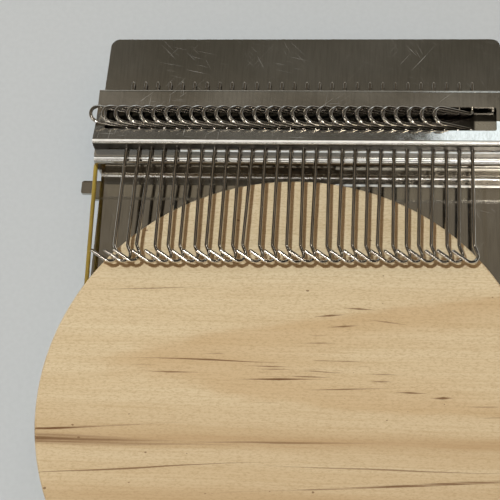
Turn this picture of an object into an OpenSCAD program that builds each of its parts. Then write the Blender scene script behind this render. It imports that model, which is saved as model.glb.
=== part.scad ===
// Darning loom: a pine disc held by a rubber band on a bent steel plate,
// with a row of wire hooks that turn over together in a bent steel carrier.
// The origin is under the disc's centre, on the underside of the plate. +Y points from the disc to the loom.

/* [Wooden disc] */
// Diameter of the disc
disc_d = 104; // [90:1:120]
// Thickness of the disc
disc_t = 8; // [6:0.5:12]
// Rounding of the disc's edges
disc_edge_r = 0.6; // [0.2:0.1:1]
// Height of the groove round the rim
groove_w = 2.4; // [1.8:0.1:3]
// Depth of the groove round the rim
groove_depth = 8.5; // [3:0.5:9]

/* [Steel plate] */
// Thickness of the plate
sheet_t = 0.8; // [0.6:0.1:1.2]
// How far the tongue reaches in front of the disc's centre
tongue_reach = 8; // [0:1:30]
// Rounding of the tongue's front corners
tongue_corner_r = 8; // [2:1:15]
// Gap between the disc's rim and the crease in the tongue
crease_gap = 2.9; // [1.5:0.1:6]
// Depth of the sloping strip between the crease and the riser
toe_run = 2.5; // [1.8:0.1:4]
// Height gained along the sloping strip
toe_rise = 0.6; // [0.3:0.1:0.9]
// Forward lean of the riser in degrees
riser_lean = 9.5; // [4:0.5:14]
// Depth of the ledge between the riser's top edge and the carrier
ledge_depth = 2.65; // [2.2:0.05:5]
// Depth of the plate behind the carrier
rear_depth = 14; // [8:0.5:20]
// How much narrower the plate is behind the carrier, on each side
rear_step = 0.6; // [0.4:0.1:2]
// Further narrowing towards the rear edge, on each side
rear_taper = 0.5; // [0:0.1:2]
// Rounding of the rear corners
rear_corner_r = 2; // [1:0.5:4]
// Inner radius of the plate's bends
plate_bend_r = 0.5; // [0.3:0.1:0.8]
// How far the side ears stand out
ear_out = 4.4; // [3:0.1:6]
// Width of the side ears
ear_w = 3.2; // [2:0.1:4]
// How far the ears reach past the crease
ear_back = 0.7; // [0:0.1:1]
// How far the step at an ear's root stands out
ear_step_out = 1.4; // [0.8:0.1:2]
// Width of the step at an ear's root
ear_step_w = 1.5; // [1:0.1:3]
// Rounding of the ears' corners
ear_corner_r = 0.5; // [0.2:0.1:0.8]

/* [Hooks] */
// Number of hooks
hook_count = 28; // [20:1:28]
// Distance from one hook to the next
hook_pitch = 2.81; // [2.6:0.01:3.2]
// Diameter of the wire
wire_d = 0.8; // [0.6:0.05:0.9]
// Height of the hooks' axes above the disc
hook_height = 2.2; // [1.9:0.1:3.5]
// Length of the first hook's shaft in front of the carrier
shaft_reach = 23.8; // [18:0.2:30]
// How much shorter the last hook's shaft is
shaft_skew = 1.1; // [0:0.1:2]
// How far the outer hooks' ends stand out sideways
end_spread = 0.4; // [0:0.05:0.6]
// Length of the wire's end behind the carrier
stub_out = 2; // [1:0.25:4]
// Slope of the handles at rest, in degrees
rest_angle = 22.5; // [22.5:0.5:30]
// Reach of a handle from its hook's axis
handle_reach = 8.9; // [8:0.1:9.5]
// Distance between a handle's two legs
handle_w = 3.9; // [3:0.1:4.5]
// Radius of the bends between a handle and its shaft, at the wire's middle
handle_bend_r = 0.8; // [0.6:0.1:1]
// Angle at which a hook's end leaves its shaft
knee_angle = 26; // [20:1:34]
// Radius of the knee, at the wire's middle
knee_r = 1.4; // [0.8:0.1:2]
// Length of a hook's leg from the knee to the turn
knee_leg = 1.5; // [1.2:0.05:2.5]
// Radius of a hook's turn, at the wire's middle
turn_r = 1.75; // [1.2:0.05:2]
// Angle between a hook's return leg and a line square to its shaft
return_angle = 27; // [16:1:30]
// Length of a hook's straight return leg
return_leg = 3.5; // [2.5:0.1:4.5]

/* [Hook carrier] */
// Thickness of the carrier's strip
strip_t = 0.5; // [0.4:0.1:0.6]
// Length of the carrier past the outer hooks' axes
carrier_margin = 7.35; // [7:0.05:12]
// Depth of the sloping face, from the front wall to the bend
slope_run = 6.75; // [5:0.25:7.5]
// Depth of the level face, from the bend to the rear flange
level_run = 8; // [7:0.25:9]
// Height gained along the sloping face
ridge_rise = 1.75; // [1.5:0.05:3]
// Gap between the wires and the level face above them
cover_gap = 0.12; // [0.1:0.02:0.4]
// Gap between the wires and the plate under them
deck_gap = 0.2; // [0.1:0.05:0.4]
// Inner radius of the carrier's bends
strip_bend_r = 0.35; // [0.2:0.05:0.5]
// Distance from the front wall to the middle of the window
window_setback = 7.1; // [6.5:0.1:7.5]
// Clearance between the handles and the window's long edges
window_clear = 0.8; // [0.5:0.05:1]
// Length of the window past the outer hooks' axes
window_margin = 5.2; // [5.2:0.1:5.6]
// Rounding of the window's corners
window_corner_r = 0.5; // [0.2:0.1:1]
// Gap under the front wall between its feet
wall_gap = 0.5; // [0.2:0.05:0.6]
// Width of the feet at the front wall's ends
foot_w = 3.1; // [2:0.1:5]
// Radial clearance of a wire in its notch
notch_clear = 0.08; // [0.04:0.01:0.1]

/* [Rivets] */
// Diameter of the rivets' shanks
rivet_d = 1.6; // [1:0.1:1.8]
// Diameter of the rivets' heads
rivet_head_d = 2.6; // [2.2:0.1:3]
// Thickness of the rivets' sunk heads
rivet_head_t = 0.35; // [0.2:0.05:0.4]
// Diameter of the spacer collar between the plate and the carrier
rivet_collar_d = 3; // [2.4:0.1:3.4]
// Distance from a rivet to the end of the carrier
rivet_inset = 2.9; // [2:0.1:4]
// Distance from a rivet to the carrier's rear face
rivet_setback = 2.85; // [2.6:0.05:3]
// Radial clearance of a rivet in its holes
rivet_clear = 0.02; // [0:0.01:0.05]

/* [Rubber band] */
// Diameter of the band
band_d = 1; // [0.8:0.1:1.4]
// Clearance between the band and what it lies against
band_gap = 0.15; // [0.1:0.01:0.2]
// Clearance between the band and the riser's side edges
band_side_gap = 0.15; // [0.15:0.05:0.8]

/* [Hidden] */
$fn = 48;
// How far cutting shapes run past the faces that they cut
cut = 1;
// How far straight legs lap into bends, and how much thicker the bends are on each side,
// so that a bent strip or wire is one piece
lap = 0.04;
hair = 0.003;
// Inner radius of the band where it turns round the riser's edges
band_turn_inner_r = 0.3;
// Hooks that use has bent sideways: the hook's number, and how far its end has moved
bent_hooks = [[3, -0.9], [4, 0.3], [5, 0.4], [7, 0.4], [11, -0.7], [14, 0.25], [15, 0.35], [16, -0.2],
    [17, 0.3], [21, -0.45], [24, -0.35], [25, -0.5], [27, -0.4]];
// The least sideways set of a hook's end that gives its shaft a bend
least_set = 0.12;

disc_r = disc_d / 2;
wire_r = wire_d / 2;
hook_span = (hook_count - 1) * hook_pitch;
carrier_half = hook_span / 2 + carrier_margin;
window_half = hook_span / 2 + window_margin;

// Heights, from the underside of the plate
disc_top = sheet_t + disc_t;
wire_z = disc_top + hook_height;
deck_top = wire_z - wire_r - deck_gap;
deck_mid = deck_top - sheet_t / 2;
toe_mid = sheet_t / 2 + toe_rise;
level_under = wire_z + wire_r + cover_gap;
level_top = level_under + strip_t;
level_mid = level_under + strip_t / 2;
ridge_mid = level_mid + ridge_rise;
band_z = sheet_t + disc_t / 2;

// Distances from the disc's centre towards the loom
crease_y = disc_r + crease_gap;
toe_y = crease_y + toe_run;
nose_y = toe_y - (deck_mid - toe_mid) * tan(riser_lean);
wall_y = nose_y + ledge_depth;
bend_y = wall_y + slope_run;
flange_y = bend_y + level_run;
rear_y = flange_y + rear_depth;
window_y = wall_y + window_setback;
window_depth = handle_w + wire_d + 2 * window_clear;
rivet_x = carrier_half - rivet_inset;
rivet_y = flange_y - rivet_setback;
// From a hook's turn to where its two legs' lines would cross
turn_tangent = turn_r * tan((90 + knee_angle + return_angle) / 2);
// The riser's rear face at the height of the band's lowest line
riser_rear_y = toe_y - (band_z - band_d / 2 - toe_mid) * tan(riser_lean) + sheet_t / 2 / cos(riser_lean);

FIXED_NODES = ["wooden_disc", "loom_plate", "hook_carrier", "carrier_rivets", "elastic_band"];

function hook_name(i) = str("hook_", i < 10 ? "0" : "", i);
function hook_x(i) = (i - 1) * hook_pitch - hook_span / 2;
function hook_bent(i) = let (found = [for (b = bent_hooks) if (b[0] == i) b[1]]) len(found) > 0 ? found[0] : 0;
function hook_set(i) =
    let (moved = hook_bent(i) + end_spread * hook_x(i) / hook_x(hook_count))
    abs(moved) < least_set ? 0 : moved;

// Geometry of a bent path: corner points p, and the bend radius r at each corner
function unit(v) = v / norm(v);
function left_of(v) = [-v.y, v.x];
function turn_at(p, i) =
    let (a = p[i] - p[i - 1], b = p[i + 1] - p[i])
    atan2(a.x * b.y - a.y * b.x, a * b);
function setback(p, r, i) = (i == 0 || i == len(p) - 1) ? 0 : r[i] * tan(abs(turn_at(p, i)) / 2);
function leg_start(p, r, i) = p[i] + unit(p[i + 1] - p[i]) * setback(p, r, i);
function leg_end(p, r, i) = p[i + 1] - unit(p[i + 1] - p[i]) * setback(p, r, i + 1);
function bend_centre(p, r, i) =
    leg_end(p, r, i - 1) + r[i] * sign(turn_at(p, i)) * left_of(unit(p[i] - p[i - 1]));
// The angle at which a bend's arc starts, counted anticlockwise
function bend_start(p, r, i) =
    let (from = turn_at(p, i) > 0 ? leg_end(p, r, i - 1) : leg_start(p, r, i), v = from - bend_centre(p, r, i))
    atan2(v.y, v.x);
function polar(r, a) = [r * cos(a), r * sin(a)];

// How far a leg of a bent path laps into the bend at a corner, and nothing at the path's two ends
function lap_at(p, i) = (i == 0 || i == len(p) - 1) ? 0 : lap;
function lapped_start(p, r, i) = leg_start(p, r, i) - unit(p[i + 1] - p[i]) * lap_at(p, i);
function lapped_end(p, r, i) = leg_end(p, r, i) + unit(p[i + 1] - p[i]) * lap_at(p, i + 1);

// The cross-section of a strip of thickness t along a bent path
module strip_section(p, r, t) {
    for (i = [0:len(p) - 2]) {
        a = lapped_start(p, r, i);
        b = lapped_end(p, r, i);
        side = left_of(unit(p[i + 1] - p[i])) * t / 2;
        polygon([a - side, b - side, b + side, a + side]);
    }
    for (i = [1:len(p) - 2]) {
        sweep = abs(turn_at(p, i));
        reach = 2 * (r[i] + t);
        translate(bend_centre(p, r, i)) rotate(bend_start(p, r, i)) intersection() {
            difference() {
                circle(r = r[i] + t / 2 + hair);
                circle(r = r[i] - t / 2 - hair);
            }
            polygon([[0, 0], for (k = [0:3]) polar(reach, sweep * k / 3)]);
        }
    }
}

// A section drawn in Y and Z, drawn out to both sides of the middle
module across(half) {
    translate([-half, 0, 0]) rotate([90, 0, 90]) linear_extrude(2 * half) children();
}

// A round rod of diameter d from one point to another, in the XY plane
module rod(a, b, d) {
    v = b - a;
    translate([a.x, a.y, 0]) rotate([0, 90, atan2(v.y, v.x)]) cylinder(h = norm(v), d = d);
}

// A bend of a round rod, from an angle and through a sweep
module rod_bend(centre, r, start, sweep, d) {
    translate([centre.x, centre.y, 0]) rotate(start)
        rotate_extrude(angle = sweep) translate([r, 0]) circle(d = d + 2 * hair);
}

// A round wire along a flat bent path
module wire_form(p, r) {
    for (i = [0:len(p) - 2]) rod(lapped_start(p, r, i), lapped_end(p, r, i), wire_d);
    for (i = [1:len(p) - 2])
        rod_bend(bend_centre(p, r, i), r[i], bend_start(p, r, i), abs(turn_at(p, i)), wire_d);
}

// The dressed end of a wire at a point, pointing along an angle
module wire_end(at, along) {
    translate([at.x, at.y, 0]) rotate([0, 90, along]) translate([0, 0, -lap])
        cylinder(h = wire_d / 3, d1 = wire_d - 2 * hair, d2 = wire_d * 2 / 3);
}

// A rectangle with round corners, centred
module round_rect(w, d, r) {
    square([w - 2 * r, d], center = true);
    square([w, d - 2 * r], center = true);
    for (x = [-1, 1], y = [-1, 1]) translate([x * (w / 2 - r), y * (d / 2 - r)]) circle(r = r);
}

module at_rivets() {
    for (x = [-1, 1]) translate([x * rivet_x, rivet_y, 0]) children();
}

module wooden_disc() {
    flat_r = disc_r - disc_edge_r;
    color("burlywood") translate([0, 0, sheet_t]) rotate_extrude($fn = 96) difference() {
        union() {
            square([flat_r, disc_t]);
            translate([0, disc_edge_r]) square([disc_r, disc_t - 2 * disc_edge_r]);
            for (z = [disc_edge_r, disc_t - disc_edge_r]) translate([flat_r, z]) circle(r = disc_edge_r);
        }
        translate([disc_r - groove_depth, (disc_t - groove_w) / 2]) square([groove_depth + cut, groove_w]);
    }
}

// The plate's outline from above: tongue, ledge and the narrower rear with its round corners
module plate_outline() {
    front = -tongue_reach;
    inner = carrier_half - tongue_corner_r;
    translate([-carrier_half, front + tongue_corner_r])
        square([2 * carrier_half, bend_y - front - tongue_corner_r]);
    translate([-inner, front]) square([2 * inner, 2 * tongue_corner_r]);
    for (x = [-1, 1]) translate([x * inner, front + tongue_corner_r]) circle(r = tongue_corner_r);
    rear_half = carrier_half - rear_step;
    corner_x = rear_half - rear_taper - rear_corner_r;
    corner_y = rear_y - rear_corner_r;
    lean = atan2(rear_taper, rear_y - bend_y);
    tangent = polar(rear_corner_r, lean);
    polygon([
        [-rear_half, bend_y - cut], [rear_half, bend_y - cut], [corner_x + tangent.x, corner_y + tangent.y],
        [corner_x, rear_y], [-corner_x, rear_y], [-corner_x - tangent.x, corner_y + tangent.y]
    ]);
    for (x = [-1, 1]) translate([x * corner_x, corner_y]) circle(r = rear_corner_r);
}

// One ear with the step at its root, to the right of the tongue
module ear() {
    root = carrier_half - cut;
    front = crease_y + ear_back - ear_w;
    translate([root + (ear_out + cut) / 2, front + ear_w / 2]) round_rect(ear_out + cut, ear_w, ear_corner_r);
    translate([root, front - ear_step_w]) square([ear_step_out + cut, ear_step_w + cut]);
}

module loom_plate() {
    mid_r = plate_bend_r + sheet_t / 2;
    path = [[-tongue_reach - cut, sheet_t / 2], [crease_y, sheet_t / 2], [toe_y, toe_mid],
        [nose_y, deck_mid], [rear_y + cut, deck_mid]];
    radii = [0, 2 * mid_r, mid_r, mid_r, 0];
    color("dimgray") difference() {
        union() {
            intersection() {
                across(carrier_half + cut) strip_section(path, radii, sheet_t);
                translate([0, 0, -cut]) linear_extrude(deck_top + 2 * cut) plate_outline();
            }
            for (side = [0, 1]) mirror([side, 0, 0]) linear_extrude(sheet_t) ear();
        }
        at_rivets() translate([0, 0, deck_top - sheet_t - cut])
            cylinder(h = sheet_t + 2 * cut, d = rivet_d + 2 * rivet_clear);
    }
}

// What is cut from a wall so that the wires can turn in it
module wire_notches(y) {
    notch_r = wire_r + notch_clear;
    for (i = [1:hook_count]) translate([hook_x(i), y - cut, 0]) {
        translate([0, 0, wire_z]) rotate([-90, 0, 0]) cylinder(h = strip_t + 2 * cut, r = notch_r);
        translate([-notch_r, 0, deck_top - cut]) cube([2 * notch_r, strip_t + 2 * cut, wire_z - deck_top + cut]);
    }
}

module hook_carrier() {
    mid_r = strip_bend_r + strip_t / 2;
    front = wall_y + strip_t / 2;
    rear = flange_y - strip_t / 2;
    path = [[front, deck_top], [front, ridge_mid], [bend_y, level_mid], [rear, level_mid], [rear, deck_top]];
    radii = [0, mid_r, 2 * mid_r, mid_r, 0];
    inner = carrier_half - foot_w;
    color("gray") difference() {
        across(carrier_half) strip_section(path, radii, strip_t);
        translate([0, window_y, level_under - cut]) linear_extrude(ridge_rise + strip_t + 2 * cut)
            round_rect(2 * window_half, window_depth, window_corner_r);
        wire_notches(wall_y);
        wire_notches(flange_y - strip_t);
        translate([-inner, wall_y - cut, deck_top - cut]) cube([2 * inner, strip_t + 2 * cut, wall_gap + cut]);
        at_rivets() {
            translate([0, 0, level_under - cut]) cylinder(h = strip_t + 2 * cut, d = rivet_d + 2 * rivet_clear);
            translate([0, 0, level_top - rivet_head_t])
                cylinder(h = rivet_head_t + cut, d = rivet_head_d + 2 * rivet_clear);
        }
    }
}

// Two flush rivets, each with the collar that holds the carrier off the plate
module carrier_rivets() {
    color("darkgray") at_rivets() {
        translate([0, 0, deck_top - sheet_t - rivet_head_t]) cylinder(h = rivet_head_t, d = rivet_head_d);
        translate([0, 0, deck_top - sheet_t]) cylinder(h = level_top - deck_top + sheet_t, d = rivet_d);
        translate([0, 0, deck_top]) cylinder(h = level_under - deck_top, d = rivet_collar_d);
        translate([0, 0, level_top - rivet_head_t]) cylinder(h = rivet_head_t, d = rivet_head_d);
    }
}

// A band round the front of the disc's groove, along both sides of the tongue and behind the riser
module elastic_band() {
    disc_turn_r = disc_r - groove_depth + band_gap + band_d / 2;
    edge_turn_r = band_turn_inner_r + band_d / 2;
    edge = [carrier_half + band_side_gap + band_d / 2 - edge_turn_r,
        riser_rear_y + band_gap + band_d / 2 - edge_turn_r];
    tangent = atan2(edge.y, edge.x) - acos((disc_turn_r - edge_turn_r) / norm(edge));
    from = polar(disc_turn_r, tangent);
    run = edge + polar(edge_turn_r, tangent) - from;
    along = unit(run) * lap;
    color("goldenrod") translate([0, 0, band_z]) {
        rod_bend([0, 0], disc_turn_r, 180 - tangent, 180 + 2 * tangent, band_d, $fn = 96);
        for (side = [0, 1]) mirror([side, 0, 0]) {
            rod(from - along, from + run + along, band_d);
            rod_bend(edge, edge_turn_r, tangent, 90 - tangent, band_d);
        }
        rod([-edge.x - lap, edge.y + edge_turn_r], [edge.x + lap, edge.y + edge_turn_r], band_d);
    }
}

// One hook: rear end, handle, shaft, knee, turn and return leg, bent from one wire
module hook(i) {
    rear_leg = window_y + handle_w / 2;
    front_leg = window_y - handle_w / 2;
    round_x = handle_w / 2 - handle_reach;
    rear_end = [0, flange_y + stub_out];
    reach = shaft_reach - shaft_skew * (i - 1) / (hook_count - 1);
    knee = [hook_set(i), wall_y - reach];
    crossing = knee + (knee_leg + turn_tangent) * [sin(knee_angle), -cos(knee_angle)];
    tip = crossing + (turn_tangent + return_leg) * [-cos(return_angle), sin(return_angle)];
    shaft_top = knee.x == 0 ? [] : [[0, wall_y]];
    shaft_top_r = knee.x == 0 ? [] : [reach / 2];
    color("lightgray") translate([hook_x(i), 0, wire_z]) rotate([0, rest_angle, 0]) {
        wire_form([rear_end, [0, rear_leg], [round_x - lap, rear_leg]], [0, handle_bend_r, 0]);
        rod_bend([round_x, window_y], handle_w / 2, 90, 180, wire_d);
        wire_form(concat([[round_x - lap, front_leg], [0, front_leg]], shaft_top, [knee, crossing, tip]),
            concat([0, handle_bend_r], shaft_top_r, [knee_r, turn_r, 0]));
        wire_end(rear_end, 90);
        wire_end(tip, 180 - return_angle);
    }
}

wooden_disc();
loom_plate();
hook_carrier();
carrier_rivets();
elastic_band();
for (i = [1:hook_count]) hook(i);
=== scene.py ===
"""Looks of the darning loom: materials, rubber band, floor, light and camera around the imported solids."""
import math

import bmesh
import bpy
from mathutils import Euler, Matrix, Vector


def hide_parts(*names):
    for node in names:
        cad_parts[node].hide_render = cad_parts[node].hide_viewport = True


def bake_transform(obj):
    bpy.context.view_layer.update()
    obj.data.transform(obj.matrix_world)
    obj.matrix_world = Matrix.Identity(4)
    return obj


def rgb(r, g, b):
    """A colour given as it looks on screen, from 0 to 255."""
    def linear(v):
        v /= 255
        return v / 12.92 if v <= 0.04045 else ((v + 0.055) / 1.055) ** 2.4
    return (linear(r), linear(g), linear(b), 1.0)


# Camera, in metres and degrees
CAMERA_PLACE = (0.02675, -0.10037, 0.30273)
CAMERA_TURN = (24.961, 5.409, 3.424)
CAMERA_LENS = 109.29
CAMERA_NEAR = 0.01
SENSOR = 36.0

# Colours of the pine, from its palest wood to its dark marks
PINE_PALE = rgb(216, 197, 162)
PINE_LATE = rgb(208, 186, 149)
PINE_FLAME = rgb(190, 156, 112)
PINE_FIBRE = rgb(183, 154, 112)
PINE_TAN = rgb(172, 136, 93)
PINE_PORE = rgb(170, 142, 102)
PINE_MARK = rgb(98, 60, 27)
# How fine the pine's patterns are along and across the grain, in repeats a metre
WAVER_FINE = (24, 80, 80)
PATCH_FINE = (40, 120, 120)
FIBRE_FINE = (40, 2400, 2400)
PORE_FINE = (1300, 3600, 3600)
GROWTH_FINE = (7, 230, 230)
DASH_FINE = (80, 2100, 2100)
DASH_GROUP_FINE = (34, 120, 120)
FLECK_FINE = (700, 1100, 700)
THREAD_FINE = (20, 1900, 1900)
# How far the grain wavers, in metres
WAVER_REACH = 0.0016
# The pine's flame, in metres on the disc's top: where its tip and its middle line are, how the middle line
# rises, how narrow it is, how far its edge shifts with the depth and with patches, and where it sets in and
# fades
FLAME_TIP = -0.0036
FLAME_Y = 0.0098
FLAME_RISE = 0.05
FLAME_NARROW = 430.0
FLAME_DEPTH_SHIFT = 4.5
FLAME_PATCHES = 0.04
FLAME_SET_IN = (-0.007, 0.011)
FLAME_FADE = (0.066, 0.014)
# Soft tan bands along the grain, in metres: each one's middle, slope, half width and depth of colour
TAN_BANDS = (
    (-0.0076, 0.012, 0.0023, 0.62),
    (-0.0085, 0.0, 0.0135, 0.34),
    (-0.0205, 0.03, 0.007, 0.6),
)
# Dark marks along the grain, in millimetres: each one's two ends, half width and depth of colour.
# A mark is darkest at its middle, so one that comes in from the rim starts outside the disc
PINE_MARKS = (
    ((-90, -9.0), (-12, -3.4), 0.26, 0.95),
    ((-92, -7.6), (-14, -8.1), 0.95, 0.8),
    ((-85, -9.3), (0, -8.5), 0.4, 0.75),
    ((-28, -8.5), (26, -7.0), 0.2, 0.55),
    ((-70, -16.6), (8, -11.0), 0.17, 0.75),
    ((-16, -12.4), (60, -12.7), 0.15, 0.6),
    ((-30, -19.9), (102, -9.7), 0.28, 0.85),
    ((-38, 9.9), (5, 9.8), 0.17, 0.8),
    ((-32, 6.8), (-16, 7.0), 0.17, 0.65),
    ((-10, 9.0), (3, 8.7), 0.16, 0.6),
    ((-8, 8.2), (3, 8.2), 0.14, 0.5),
    ((-13, 5.7), (10, 6.3), 0.2, 0.95),
    ((0, 3.5), (25, 4.8), 0.14, 0.7),
    ((15, 7.8), (25, 7.6), 0.14, 0.5),
    ((16, 6.1), (23, 6.0), 0.16, 0.65),
    ((21, 3.8), (30, 3.4), 0.18, 0.75),
    ((29, 2.4), (35, 2.7), 0.24, 0.85),
    ((4, 20.2), (13, 20.8), 0.18, 0.8),
    ((10, 22.2), (19, 21.8), 0.18, 0.75),
    ((7, 17.9), (16, 18.5), 0.18, 0.75),
    ((15, 19.8), (26, 18.6), 0.14, 0.5),
    ((1, 14.2), (12, 14.5), 0.13, 0.5),
    ((-47, 25.2), (-13, 26.8), 0.14, 0.5),
)
# Threads of lighter wood break up the marks with a greater half width than this
BROAD_MARK = 0.25
# Where a mark's colour ends and where it is whole, in half widths from its middle line
MARK_EDGE = 1.7
MARK_CORE = 0.5

# Colours of the steel
PLATE_TONE = rgb(184, 180, 171)
CARRIER_TONE = rgb(190, 185, 174)
SCRATCH_TONE = rgb(205, 203, 198)
ROLLED_TONE = rgb(120, 114, 104)
WIRE_BRIGHT = rgb(212, 204, 192)
WIRE_DULL = rgb(184, 175, 162)
# The wire's underside colour is painted shade
WIRE_UNDERSIDE_SHADE = rgb(58, 52, 45)
# How fine the steel's patterns are, in repeats a metre, and the slant of its smears in degrees
SCRATCH_FINE = (130, 5200, 130)
SCRATCH_PATCH_FINE = (75, 75, 75)
CLOUD_FINE = (42, 60, 60)
SMEAR_FINE = (160, 520, 160)
SMEAR_SLANT = 38
ROLLED_FINE = (2600, 160, 2600)
CRINKLE_FINE = (1300, 1700, 1300)
DRAWN_FINE = (3200, 60, 3200)
DULL_FINE = (210, 150, 210)
# The directions of each piece's scratches, in degrees
PLATE_SCRATCHES = (14, 47, 63, 128)
CARRIER_SCRATCHES = (3, 95, 140)
# Between which shares of their middle values the steel's haze and roughness vary, how far smears thin a zone
# out, and the share of the ripple that is fine crinkles
HAZE_SPAN = (0.4, 1.6)
ROUGH_SPAN = (0.7, 1.5)
ZONE_THINNED = 0.86
CRINKLE_SHARE = 0.22
# Zones of the two steel pieces, with wear, painted shade and painted highlights, in metres: the lowest and
# highest
# X, Y and Z, how soft the edges are, and the zone's share, colour, scattered light and roughness
FAR = 1.0
PLATE_ZONES = (
    # Painted shade on the deck under the carrier, where the handles hide it, and on a band at the back of
    # the window's right end, in front of which the deck is paler and scatters more light
    ((-FAR, 0.0588, 0.0092), (0.0385, 0.0728, FAR), 0.0008, 0.95, (40, 36, 32), 0.0, 0.2),
    ((0.03, 0.0662, 0.0092), (FAR, 0.0728, FAR), 0.0004, 0.95, (40, 36, 32), 0.0, 0.2),
    ((0.0385, 0.0588, 0.0092), (FAR, 0.0661, FAR), 0.0004, 0.9, (190, 181, 162), 0.3, 0.2),
    # The riser, tinted brown
    ((-FAR, 0.05, 0.002), (FAR, FAR, 0.0088), 0.0004, 0.85, (168, 155, 132), 0.03, 0.09),
    # The sloping foot of the riser in painted shade, near black to the right, a dull strip of the tongue, a
    # brightened tone that adds painted highlight to the lamp-lit line of the foot, and a painted highlight
    # along the crease
    ((-FAR, 0.0552, 0.0), (FAR, 0.0568, 0.0014), 0.0002, 0.95, (140, 133, 121), 0.07, 0.15),
    ((0.008, 0.0552, 0.0), (FAR, 0.0568, 0.0014), 0.004, 0.95, (40, 36, 31), 0.0, 0.25),
    ((-FAR, 0.0509, 0.0), (FAR, 0.0515, 0.0009), 0.0003, 0.9, (170, 165, 154), 0.04, 0.3),
    ((-FAR, 0.05645, 0.0010), (FAR, 0.0569, 0.0018), 0.0002, 0.9, (244, 240, 232), 0.1, 0.3),
    ((0.008, 0.0548, 0.0), (FAR, 0.0553, 0.001), 0.0002, 0.85, (240, 237, 230), 0.8, 0.25),
    # The ledge, rubbed by the yarn, and painted highlights along the carrier and along its front
    ((-FAR, 0.0566, 0.0098), (FAR, 0.0589, FAR), 0.0002, 0.8, (196, 190, 178), 0.26, 0.12),
    ((-0.026, 0.05815, 0.0098), (FAR, 0.0589, FAR), 0.0002, 0.95, (250, 247, 240), 0.95, 0.3),
    ((-FAR, 0.0563, 0.0099), (FAR, 0.0566, FAR), 0.0001, 1.0, (252, 249, 242), 0.9, 0.25),
)
CARRIER_ZONES = (
    # The front wall, darkened as painted shade under the ridge
    ((-FAR, 0.05, 0.0), (FAR, 0.0593, 0.0131), 0.0003, 0.97, (33, 26, 19), 0.01, 0.34),
    # The ridge, a painted highlight along the bend
    ((-FAR, 0.05895, 0.0132), (FAR, 0.0594, FAR), 0.0001, 1.0, (252, 249, 242), 0.9, 0.25),
)

# Colours of the rubber and how fine its patterns are, in repeats a metre
RUBBER_LIGHT = rgb(176, 150, 66)
RUBBER_DARK = rgb(146, 122, 46)
RUBBER_DUST = rgb(198, 184, 128)
RUBBER_CLOUD_FINE = (260, 160, 260)
RUBBER_DUST_FINE = (1400, 1400, 1400)
# The rubber band's route, in metres, as in the part's source
BAND_D = 0.001
BAND_Z = 0.0048
BAND_DISC_R = 0.04415
BAND_EDGE_R = 0.0008
BAND_SIDE_X = 0.045935
BAND_REAR_Y = 0.057904
BAND_SIDES = 14
BAND_STEP = 0.0008
# The band's section: its width and height as shares of the diameter, and the waves of its width along the
# band, each one's height, rate and start
BAND_WIDE = 0.96
BAND_HIGH = 0.98
BAND_WAVES = ((0.035, 0.11, 0.0), (0.02, 0.037, 1.0))

# The floor: its reach in metres, its two tones, how fine its tooth is, and where it fades into the backdrop
FLOOR_REACH = 3.0
FLOOR_LIGHT = rgb(191, 194, 195)
FLOOR_DARK = rgb(188, 191, 192)
FLOOR_FINE = (900, 900, 900)
FLOOR_FADE = (0.25, 0.8)
BACKDROP = rgb(201, 202, 200)

# The room's colours: low and high in it, on the wall behind, overhead, at the sides and near the horizon,
# and the light that it sheds
ROOM_LOW = rgb(58, 55, 49)
ROOM_HIGH = rgb(95, 91, 82)
ROOM_WALL = rgb(130, 121, 107)
ROOM_TOP = rgb(84, 78, 68)
ROOM_SIDE = rgb(14, 12, 10)
ROOM_HORIZON = rgb(124, 119, 109)
ROOM_FILL = rgb(162, 137, 108)
# Where these colours lie, as shares of a direction to the right, to the back and upwards: each pair goes
# from where a colour sets in to where it is whole
HIGH_UP = (0.3, 0.84)
WALL_BACK = ((0.3, 0.38), (0.525, 0.475))
WALL_UP = (0.3, 0.6)
TOP_UP = (0.955, 0.985)
SIDES_MIDDLE = 0.04
SIDES_ASIDE = (0.3, 0.62)
SIDES_BACK = ((-0.45, -0.3), (0.6, 0.52))
HORIZON_UP = (0.44, 0.28)
NO_HORIZON_BACK = ((0.25, 0.34), (0.62, 0.53))
BACKDROP_UP = (0.21, 0.17)

# Lamps: each one's name, way from the loom, distance, width and height, and the level to which it lights a
# white sheet that faces it
LOOM_MIDDLE = (0.0, 0.04, 0.01)
KEY = ("key", (-0.24, -0.03, 0.97), 1.1, (0.08, 0.08), 0.82)
KEY_COLOUR = (0.83, 0.933, 1.0)
BACK_WINDOW = ("back_window", (0.17, 0.84, 0.5), 1.0, (0.27, 0.26), 0.052)
BACK_WINDOW_COLOUR = (0.74, 0.87, 1.0)
REFLECTED_LAMPS = (
    ("back_card", (-0.15, 0.85, 0.5), 1.0, (0.6, 0.3), 0.001),
    ("right_window", (0.145, -0.44, 0.886), 0.9, (0.12, 0.15), 0.22),
    ("top_strip", (0, -0.245, 0.97), 0.9, (0.5, 0.05), 0.02),
    ("crease_strip", (0.07, 0.24, 0.97), 0.9, (0.18, 0.04), 0.03),
    ("front_card", (0, -0.71, 0.7), 0.9, (0.5, 0.2), 0.023),
    ("foot_strip", (0, -0.86, 0.51), 0.9, (0.6, 0.06), 0.09),
    ("left_card", (-0.6, -0.4, 0.69), 0.9, (0.3, 0.3), 0.1),
)


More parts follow.
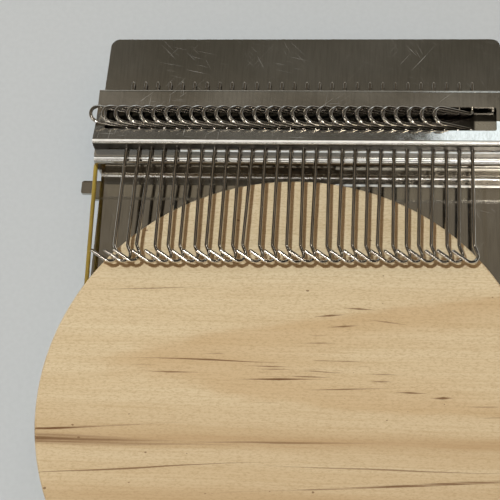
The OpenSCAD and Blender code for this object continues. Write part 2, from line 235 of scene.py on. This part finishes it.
class Graph:
    """Short calls for building the nodes of a material or of the world."""

    def __init__(self, tree):
        self.tree = tree
        tree.nodes.clear()

    def node(self, kind, inputs, output=0, **settings):
        made = self.tree.nodes.new(kind)
        for key, value in settings.items():
            setattr(made, key, value)
        for key, value in inputs.items():
            if isinstance(value, bpy.types.NodeSocket):
                self.tree.links.new(value, made.inputs[key])
            else:
                made.inputs[key].default_value = value
        return made.outputs[output]

    def math(self, operation, a, b=0.0, c=0.0):
        return self.node("ShaderNodeMath", {0: a, 1: b, 2: c}, operation=operation)

    def place(self):
        return self.node("ShaderNodeTexCoord", {}, output="Object")

    def turned(self, vector, degrees, move=(0, 0, 0)):
        inputs = {"Vector": vector, "Location": move, "Rotation": (0, 0, math.radians(degrees))}
        return self.node("ShaderNodeMapping", inputs)

    def split(self, vector):
        made = self.tree.nodes.new("ShaderNodeSeparateXYZ")
        self.tree.links.new(vector, made.inputs[0])
        return made.outputs

    def noise(self, vector, fine, detail=3.0, rough=0.5, move=(0, 0, 0)):
        """Noise that is as fine as the given repeats a metre in each direction."""
        mapped = self.node("ShaderNodeMapping", {"Vector": vector, "Location": move, "Scale": fine})
        inputs = {"Vector": mapped, "Scale": 1.0, "Detail": detail, "Roughness": rough}
        return self.node("ShaderNodeTexNoise", inputs)

    def ramp(self, value, low, high, to_low=0.0, to_high=1.0):
        inputs = {"Value": value, "From Min": low, "From Max": high, "To Min": to_low, "To Max": to_high}
        return self.node("ShaderNodeMapRange", inputs, interpolation_type="SMOOTHSTEP")

    def between(self, value, rise, fall):
        """1 from the end of the rise to the end of the fall."""
        return self.math("MULTIPLY", self.ramp(value, *rise), self.ramp(value, *fall))

    def mix(self, share, a, b):
        return self.node("ShaderNodeMix", {0: share, 6: a, 7: b}, output=2, data_type="RGBA")

    def blend(self, share, a, b):
        return self.node("ShaderNodeMix", {0: share, 2: a, 3: b}, data_type="FLOAT")

    def bump(self, height, strength, distance):
        return self.node("ShaderNodeBump", {"Height": height, "Strength": strength, "Distance": distance})

    def looked_at(self):
        """1 for a ray from the camera, straight or by way of metal, and 0 for one that only sheds light."""
        seen = self.node("ShaderNodeLightPath", {}, output="Is Camera Ray")
        for ray in ("Is Glossy Ray", "Is Transmission Ray"):
            seen = self.math("MAXIMUM", seen, self.node("ShaderNodeLightPath", {}, output=ray))
        return seen

    def principled(self, inputs):
        return self.node("ShaderNodeBsdfPrincipled", inputs)

    def show(self, shader, kind="ShaderNodeOutputMaterial"):
        out = self.tree.nodes.new(kind)
        self.tree.links.new(shader, out.inputs["Surface"])


def new_material(name):
    material = bpy.data.materials.new(name)
    material.use_nodes = True
    return material, Graph(material.node_tree)


def grain_mark(g, x, y, start, end, half):
    """A mark along the grain that thins towards both ends: 1 at its middle."""
    (x0, y0), (x1, y1) = [[v / 1000 for v in point] for point in (start, end)]
    length = x1 - x0
    slope = (y1 - y0) / length
    taper = g.math("MULTIPLY_ADD", x, 2 * MARK_EDGE / length, -MARK_EDGE * (x0 + x1) / length)
    away = g.math("ADD", g.math("MULTIPLY_ADD", x, -slope, y), slope * x0 - y0)
    away = g.math("MULTIPLY_ADD", g.math("ABSOLUTE", away), 1000 / half, g.math("ABSOLUTE", taper))
    return g.ramp(away, MARK_EDGE, MARK_CORE)


def pine():
    """A pale board with one long flame, tan bands and dark marks along the grain."""
    material, g = new_material("pine")
    place = g.place()
    waver = g.noise(place, WAVER_FINE, detail=2.0)
    shift = g.math("MULTIPLY_ADD", waver, WAVER_REACH, -WAVER_REACH / 2)
    sideways = g.node("ShaderNodeCombineXYZ", {1: shift})
    bent = g.node("ShaderNodeVectorMath", {0: place, 1: sideways}, operation="ADD")
    x, y, z = g.split(bent)

    # The flame: its tip points to the left, and its colour fades to the right
    slant = g.math("MULTIPLY_ADD", z, FLAME_DEPTH_SHIFT, FLAME_TIP)
    aside = g.math("SUBTRACT", y, g.math("MULTIPLY_ADD", x, FLAME_RISE, FLAME_Y))
    spread = g.math("MULTIPLY", g.math("MULTIPLY", aside, aside), FLAME_NARROW)
    patch = g.noise(place, PATCH_FINE, detail=4.0, rough=0.6)
    flame = g.math("SUBTRACT", g.math("ADD", x, slant), spread)
    flame = g.math("ADD", flame, g.math("MULTIPLY_ADD", patch, FLAME_PATCHES, -FLAME_PATCHES / 2))
    flame = g.math("MULTIPLY", g.ramp(flame, *FLAME_SET_IN), g.ramp(flame, *FLAME_FADE, to_low=0.15))

    # Fibres, pores, bands of growth, short resin dashes in groups and a few dark flecks
    fibre = g.noise(bent, FIBRE_FINE, rough=0.6)
    pores = g.noise(place, PORE_FINE, detail=2.0, rough=0.75)
    growth = g.noise(bent, GROWTH_FINE)
    dash = g.noise(bent, DASH_FINE, detail=1.0, rough=0.4, move=(0.31, 0.12, 0))
    group = g.noise(place, DASH_GROUP_FINE, detail=1.0, move=(0.52, 0.31, 0))
    dashes = g.math("MULTIPLY", g.ramp(dash, 0.68, 0.75, to_high=0.6), g.ramp(group, 0.48, 0.6))
    dashes = g.math("MULTIPLY", dashes, g.ramp(flame, 0.05, 0.3))
    flecks = g.ramp(g.noise(place, FLECK_FINE, detail=0.0), 0.84, 0.87, to_high=0.7)

    # The marks, of which threads of lighter wood break up the broad ones
    threads = g.noise(bent, THREAD_FINE, rough=0.65, move=(0.2, 0.05, 0))
    threads = g.ramp(threads, 0.36, 0.6, to_low=0.22)
    marks = g.math("MAXIMUM", dashes, flecks)
    for start, end, half, depth in PINE_MARKS:
        mark = g.math("MULTIPLY", grain_mark(g, x, y, start, end, half), depth)
        if half > BROAD_MARK:
            mark = g.math("MULTIPLY", mark, threads)
        marks = g.math("MAXIMUM", marks, mark)

    colour = g.mix(g.ramp(growth, 0.3, 0.72), PINE_PALE, PINE_LATE)
    colour = g.mix(g.math("MULTIPLY", flame, 0.5), colour, PINE_FLAME)
    colour = g.mix(g.ramp(fibre, 0.4, 0.8, to_high=0.4), colour, PINE_FIBRE)
    for middle, slope, half, depth in TAN_BANDS:
        away = g.math("ABSOLUTE", g.math("SUBTRACT", y, g.math("MULTIPLY_ADD", x, slope, middle)))
        band = g.ramp(away, half, 0.0, to_high=depth)
        band = g.math("MULTIPLY", band, g.ramp(growth, 0.3, 0.7, to_low=0.6))
        colour = g.mix(band, colour, PINE_TAN)
    colour = g.mix(g.ramp(pores, 0.42, 0.72, to_high=0.5), colour, PINE_PORE)
    colour = g.mix(marks, colour, PINE_MARK)

    height = g.math("SUBTRACT", g.math("MULTIPLY_ADD", pores, 0.6, fibre), g.math("MULTIPLY", marks, 0.5))
    g.show(g.principled({
        "Base Color": colour,
        "Roughness": g.ramp(fibre, 0.2, 0.8, to_low=0.58, to_high=0.7),
        "Normal": g.bump(height, strength=0.25, distance=0.00006),
        "Specular IOR Level": 0.35,
    }))
    return material


def scratches(g, place, turns, density):
    """Thin straight marks in several directions: 1 on a mark."""
    total = None
    for k, turn in enumerate(turns):
        lane = g.turned(place, turn, move=(0.11 * k, 0.07 * k, 0))
        streak = g.noise(lane, SCRATCH_FINE, detail=1.0, rough=0.4)
        streak = g.ramp(streak, density, density + 0.06)
        total = streak if total is None else g.math("MAXIMUM", total, streak)
    patch = g.noise(place, SCRATCH_PATCH_FINE, detail=2.0, move=(0.4, 0.2, 0.1))
    return g.math("MULTIPLY", total, g.ramp(patch, 0.42, 0.62))


def zone_share(g, place, low, high, soft):
    """1 inside a box with soft sides, and 0 outside it."""
    share = None
    for value, start, end in zip(g.split(place), low, high):
        for edge, step in ((start, soft), (end, -soft)):
            if abs(edge) < FAR:
                side = g.ramp(value, edge - step / 2, edge + step / 2)
                share = side if share is None else g.math("MULTIPLY", share, side)
    return share


def sheet_steel(name, tone, haze, rough, turns, density, ripple, zones):
    """Rolled steel sheet, handled and scratched, with worn zones, painted shade and painted highlights.

    The haze is the share that scatters light, and the ripple is how uneven the surface is.
    """
    material, g = new_material(name)
    place = g.place()
    marks = scratches(g, place, turns, density)
    cloud = g.noise(place, CLOUD_FINE, detail=2.0)
    smear = g.noise(g.turned(place, SMEAR_SLANT), SMEAR_FINE, rough=0.55)
    rolled = g.noise(place, ROLLED_FINE, detail=2.0)
    colour = g.mix(g.math("MULTIPLY", marks, 0.5), tone, SCRATCH_TONE)
    colour = g.mix(g.ramp(rolled, 0.35, 0.75, to_high=0.22), colour, ROLLED_TONE)
    scatter = g.ramp(cloud, 0.3, 0.75, *[haze * share for share in HAZE_SPAN])
    scatter = g.math("MULTIPLY_ADD", marks, 0.25, scatter)
    roughness = g.ramp(smear, 0.3, 0.75, *[rough * share for share in ROUGH_SPAN])
    for low, high, soft, most, zone_colour, haze_there, rough_there in zones:
        patchy = g.ramp(smear, 0.25, 0.7, to_low=most, to_high=most * ZONE_THINNED)
        share = g.math("MULTIPLY", zone_share(g, place, low, high, soft), patchy)
        # The zones' colours are wear, painted shade and painted highlights
        colour = g.mix(share, colour, rgb(*zone_colour))
        scatter = g.blend(share, scatter, haze_there)
        roughness = g.blend(share, roughness, rough_there)
    crinkle = g.noise(place, CRINKLE_FINE, detail=2.0, rough=0.6, move=(0.3, 0.1, 0.2))
    uneven = g.math("MULTIPLY_ADD", crinkle, ripple * CRINKLE_SHARE, g.math("MULTIPLY", smear, ripple))
    g.show(g.principled({
        "Base Color": colour,
        "Metallic": g.math("SUBTRACT", 1.0, scatter),
        "Roughness": roughness,
        "Normal": g.bump(g.math("ADD", uneven, cloud), strength=0.03, distance=0.0002),
    }))
    return material


def wire_steel():
    """Bright drawn wire, with faint lines along it, dull patches and painted shade on its underside."""
    material, g = new_material("wire_steel")
    place = g.place()
    drawn = g.noise(place, DRAWN_FINE, detail=2.0)
    dull = g.noise(place, DULL_FINE, rough=0.55)
    facing = g.node("ShaderNodeTexCoord", {}, output="Normal")
    # Painted shade: the wire's colour darkens where it faces down
    under = g.ramp(g.split(facing)[2], -0.15, -0.6, to_high=0.85)
    colour = g.mix(g.ramp(dull, 0.35, 0.75), WIRE_BRIGHT, WIRE_DULL)
    g.show(g.principled({
        "Base Color": g.mix(under, colour, WIRE_UNDERSIDE_SHADE),
        "Metallic": 1.0,
        "Roughness": g.ramp(dull, 0.3, 0.8, to_low=0.1, to_high=0.2),
        "Normal": g.bump(drawn, strength=0.06, distance=0.00002),
    }))
    return material


def rubber():
    """Yellow, slightly translucent rubber, dusty in places."""
    material, g = new_material("rubber")
    place = g.place()
    cloud = g.noise(place, RUBBER_CLOUD_FINE)
    dust = g.noise(place, RUBBER_DUST_FINE, detail=2.0)
    colour = g.mix(g.ramp(cloud, 0.3, 0.7), RUBBER_LIGHT, RUBBER_DARK)
    g.show(g.principled({
        "Base Color": g.mix(g.ramp(dust, 0.58, 0.75, to_high=0.3), colour, RUBBER_DUST),
        "Roughness": g.ramp(cloud, 0.3, 0.7, to_low=0.38, to_high=0.55),
        "Normal": g.bump(cloud, strength=0.2, distance=0.0001),
        "Subsurface Weight": 0.35,
        "Subsurface Radius": (0.9, 0.7, 0.3),
        "Subsurface Scale": 0.0008,
        "Transmission Weight": 0.12,
    }))
    return material


def floor_paper():
    """Pale paper, which runs out into the backdrop's colour far from the loom."""
    material, g = new_material("floor_paper")
    place = g.place()
    tooth = g.noise(place, FLOOR_FINE)
    paper = g.principled({
        "Base Color": g.mix(g.ramp(tooth, 0.3, 0.7), FLOOR_LIGHT, FLOOR_DARK),
        "Roughness": 0.85,
        "Normal": g.bump(tooth, strength=0.15, distance=0.0001),
        "Specular IOR Level": 0.2,
    })
    backdrop = g.node("ShaderNodeEmission", {"Color": BACKDROP, "Strength": 1.0})
    away = g.node("ShaderNodeVectorMath", {0: place}, output="Value", operation="LENGTH")
    share = g.math("MULTIPLY", g.ramp(away, *FLOOR_FADE), g.looked_at())
    g.show(g.node("ShaderNodeMixShader", {0: share, 1: paper, 2: backdrop}))
    return material


def arc(centre, radius, start, sweep, step):
    count = max(4, int(abs(math.radians(sweep)) * radius / step))
    angles = [math.radians(start + sweep * k / count) for k in range(count + 1)]
    return [(centre[0] + radius * math.cos(a), centre[1] + radius * math.sin(a)) for a in angles]


def line(a, b, step):
    """The points between two points, without the two."""
    count = max(2, int(math.dist(a, b) / step))
    return [(a[0] + (b[0] - a[0]) * k / count, a[1] + (b[1] - a[1]) * k / count) for k in range(1, count)]


def band_route():
    """The band's middle line: round the groove's front, along the right side, behind the riser and back."""
    corner = (BAND_SIDE_X - BAND_EDGE_R, BAND_REAR_Y - BAND_EDGE_R)
    reach = math.hypot(*corner)
    lean = math.atan2(corner[1], corner[0]) - math.acos((BAND_DISC_R - BAND_EDGE_R) / reach)
    lean = math.degrees(lean)
    front = arc((0, 0), BAND_DISC_R, 180 - lean, 180 + 2 * lean, BAND_STEP)
    right = arc(corner, BAND_EDGE_R, lean, 90 - lean, BAND_STEP / 4)
    left = arc((-corner[0], corner[1]), BAND_EDGE_R, 90, 90 - lean, BAND_STEP / 4)
    route = front + line(front[-1], right[0], BAND_STEP) + right + line(right[-1], left[0], BAND_STEP) + left
    return route + line(left[-1], front[0], BAND_STEP)


def rubber_band(material):
    """A closed tube with a slightly flattened section that varies along the band."""
    mesh = bpy.data.meshes.new("rubber_band")
    shape = bmesh.new()
    route = band_route()
    rings = []
    for k, (x, y) in enumerate(route):
        ahead = Vector(route[(k + 1) % len(route)]) - Vector(route[k - 1])
        side = Vector((ahead.y, -ahead.x)).normalized()
        swell = 1
        for height, rate, start in BAND_WAVES:
            swell += height * math.sin(k * rate + start)
        ring = []
        for j in range(BAND_SIDES):
            a = 2 * math.pi * j / BAND_SIDES
            out = BAND_D / 2 * BAND_WIDE * swell * math.cos(a)
            up = BAND_D / 2 * BAND_HIGH * math.sin(a)
            ring.append(shape.verts.new((x + side.x * out, y + side.y * out, BAND_Z + up)))
        rings.append(ring)
    for k, ring in enumerate(rings):
        other = rings[(k + 1) % len(rings)]
        for j in range(BAND_SIDES):
            n = (j + 1) % BAND_SIDES
            shape.faces.new((ring[j], ring[n], other[n], other[j]))
    bmesh.ops.recalc_face_normals(shape, faces=shape.faces)
    shape.to_mesh(mesh)
    shape.free()
    for face in mesh.polygons:
        face.use_smooth = True
    mesh.materials.append(material)
    band = bpy.data.objects.new("rubber_band", mesh)
    bpy.context.scene.collection.objects.link(band)
    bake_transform(band)
    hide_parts("elastic_band")


def give(node, material):
    node.data.materials.clear()
    node.data.materials.append(material)


def area_light(name, way, distance, size, white, diffuse=True, glossy=True, colour=(1, 1, 1)):
    """A lamp in a direction from the loom. It lights a white sheet that faces it to the given level."""
    aim = Vector(LOOM_MIDDLE)
    lamp = bpy.data.lights.new(name, "AREA")
    lamp.shape = "RECTANGLE"
    lamp.size, lamp.size_y = size
    lamp.energy = white * (math.pi * distance) ** 2
    lamp.color = colour
    lamp_object = bpy.data.objects.new(name, lamp)
    lamp_object.location = aim + Vector(way).normalized() * distance
    lamp_object.rotation_euler = (aim - lamp_object.location).to_track_quat("-Z", "Y").to_euler()
    lamp_object.visible_diffuse = diffuse
    lamp_object.visible_glossy = glossy
    bpy.context.scene.collection.objects.link(lamp_object)


def room():
    """An even room, dim and warm overhead, with a pale backdrop all round it above the floor."""
    world = bpy.data.worlds.new("room")
    world.use_nodes = True
    bpy.context.scene.world = world
    g = Graph(world.node_tree)
    way = g.node("ShaderNodeTexCoord", {}, output="Generated")
    right, back, up = g.split(way)
    walls = g.mix(g.ramp(up, *HIGH_UP), ROOM_LOW, ROOM_HIGH)
    behind = g.math("MULTIPLY", g.between(back, *WALL_BACK), g.ramp(up, *WALL_UP))
    walls = g.mix(behind, walls, ROOM_WALL)
    walls = g.mix(g.ramp(up, *TOP_UP), walls, ROOM_TOP)
    aside = g.math("ABSOLUTE", g.math("SUBTRACT", right, SIDES_MIDDLE))
    sides = g.math("MULTIPLY", g.ramp(aside, *SIDES_ASIDE), g.between(back, *SIDES_BACK))
    walls = g.mix(sides, walls, ROOM_SIDE)
    elsewhere = g.math("SUBTRACT", 1.0, g.between(back, *NO_HORIZON_BACK))
    walls = g.mix(g.math("MULTIPLY", g.ramp(up, *HORIZON_UP), elsewhere), walls, ROOM_HORIZON)
    walls = g.mix(g.ramp(up, *BACKDROP_UP), walls, BACKDROP)
    colour = g.mix(g.looked_at(), ROOM_FILL, walls)
    shader = g.node("ShaderNodeBackground", {"Color": colour, "Strength": 1.0})
    g.show(shader, "ShaderNodeOutputWorld")


def floor(material):
    mesh = bpy.data.meshes.new("floor")
    corners = [(x * FLOOR_REACH, y * FLOOR_REACH, 0) for x, y in ((-1, -1), (1, -1), (1, 1), (-1, 1))]
    mesh.from_pydata(corners, [], [(0, 1, 2, 3)])
    mesh.materials.append(material)
    made = bpy.data.objects.new("floor", mesh)
    bpy.context.scene.collection.objects.link(made)


def camera():
    lens = bpy.data.cameras.new("camera")
    lens.lens = CAMERA_LENS
    lens.sensor_width = SENSOR
    lens.clip_start = CAMERA_NEAR
    eye = bpy.data.objects.new("camera", lens)
    eye.location = CAMERA_PLACE
    eye.rotation_euler = Euler([math.radians(a) for a in CAMERA_TURN], "XYZ")
    bpy.context.scene.collection.objects.link(eye)
    bpy.context.scene.camera = eye


bpy.ops.wm.read_factory_settings(use_empty=True)
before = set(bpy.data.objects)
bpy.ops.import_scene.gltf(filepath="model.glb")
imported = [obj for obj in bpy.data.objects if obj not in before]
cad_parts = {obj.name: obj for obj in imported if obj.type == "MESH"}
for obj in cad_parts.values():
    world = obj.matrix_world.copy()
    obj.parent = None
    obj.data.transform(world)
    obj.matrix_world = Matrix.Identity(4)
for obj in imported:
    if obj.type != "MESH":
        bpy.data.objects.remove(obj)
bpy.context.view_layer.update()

plate_steel = sheet_steel("plate_steel", PLATE_TONE, haze=0.035, rough=0.055, turns=PLATE_SCRATCHES,
                          density=0.72, ripple=0.3, zones=PLATE_ZONES)
carrier_steel = sheet_steel("carrier_steel", CARRIER_TONE, haze=0.11, rough=0.09, turns=CARRIER_SCRATCHES,
                            density=0.7, ripple=1.6, zones=CARRIER_ZONES)
bright_wire = wire_steel()
give(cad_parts["wooden_disc"], pine())
give(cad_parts["loom_plate"], plate_steel)
give(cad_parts["hook_carrier"], carrier_steel)
give(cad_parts["carrier_rivets"], carrier_steel)
for name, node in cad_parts.items():
    if name.startswith("hook_") and name != "hook_carrier":
        give(node, bright_wire)
rubber_band(rubber())

floor(floor_paper())
room()
area_light(*KEY, glossy=False, colour=KEY_COLOUR)
area_light(*BACK_WINDOW, colour=BACK_WINDOW_COLOUR)
for lamp in REFLECTED_LAMPS:
    area_light(*lamp, diffuse=False)
camera()

bpy.context.scene.view_settings.view_transform = "Standard"
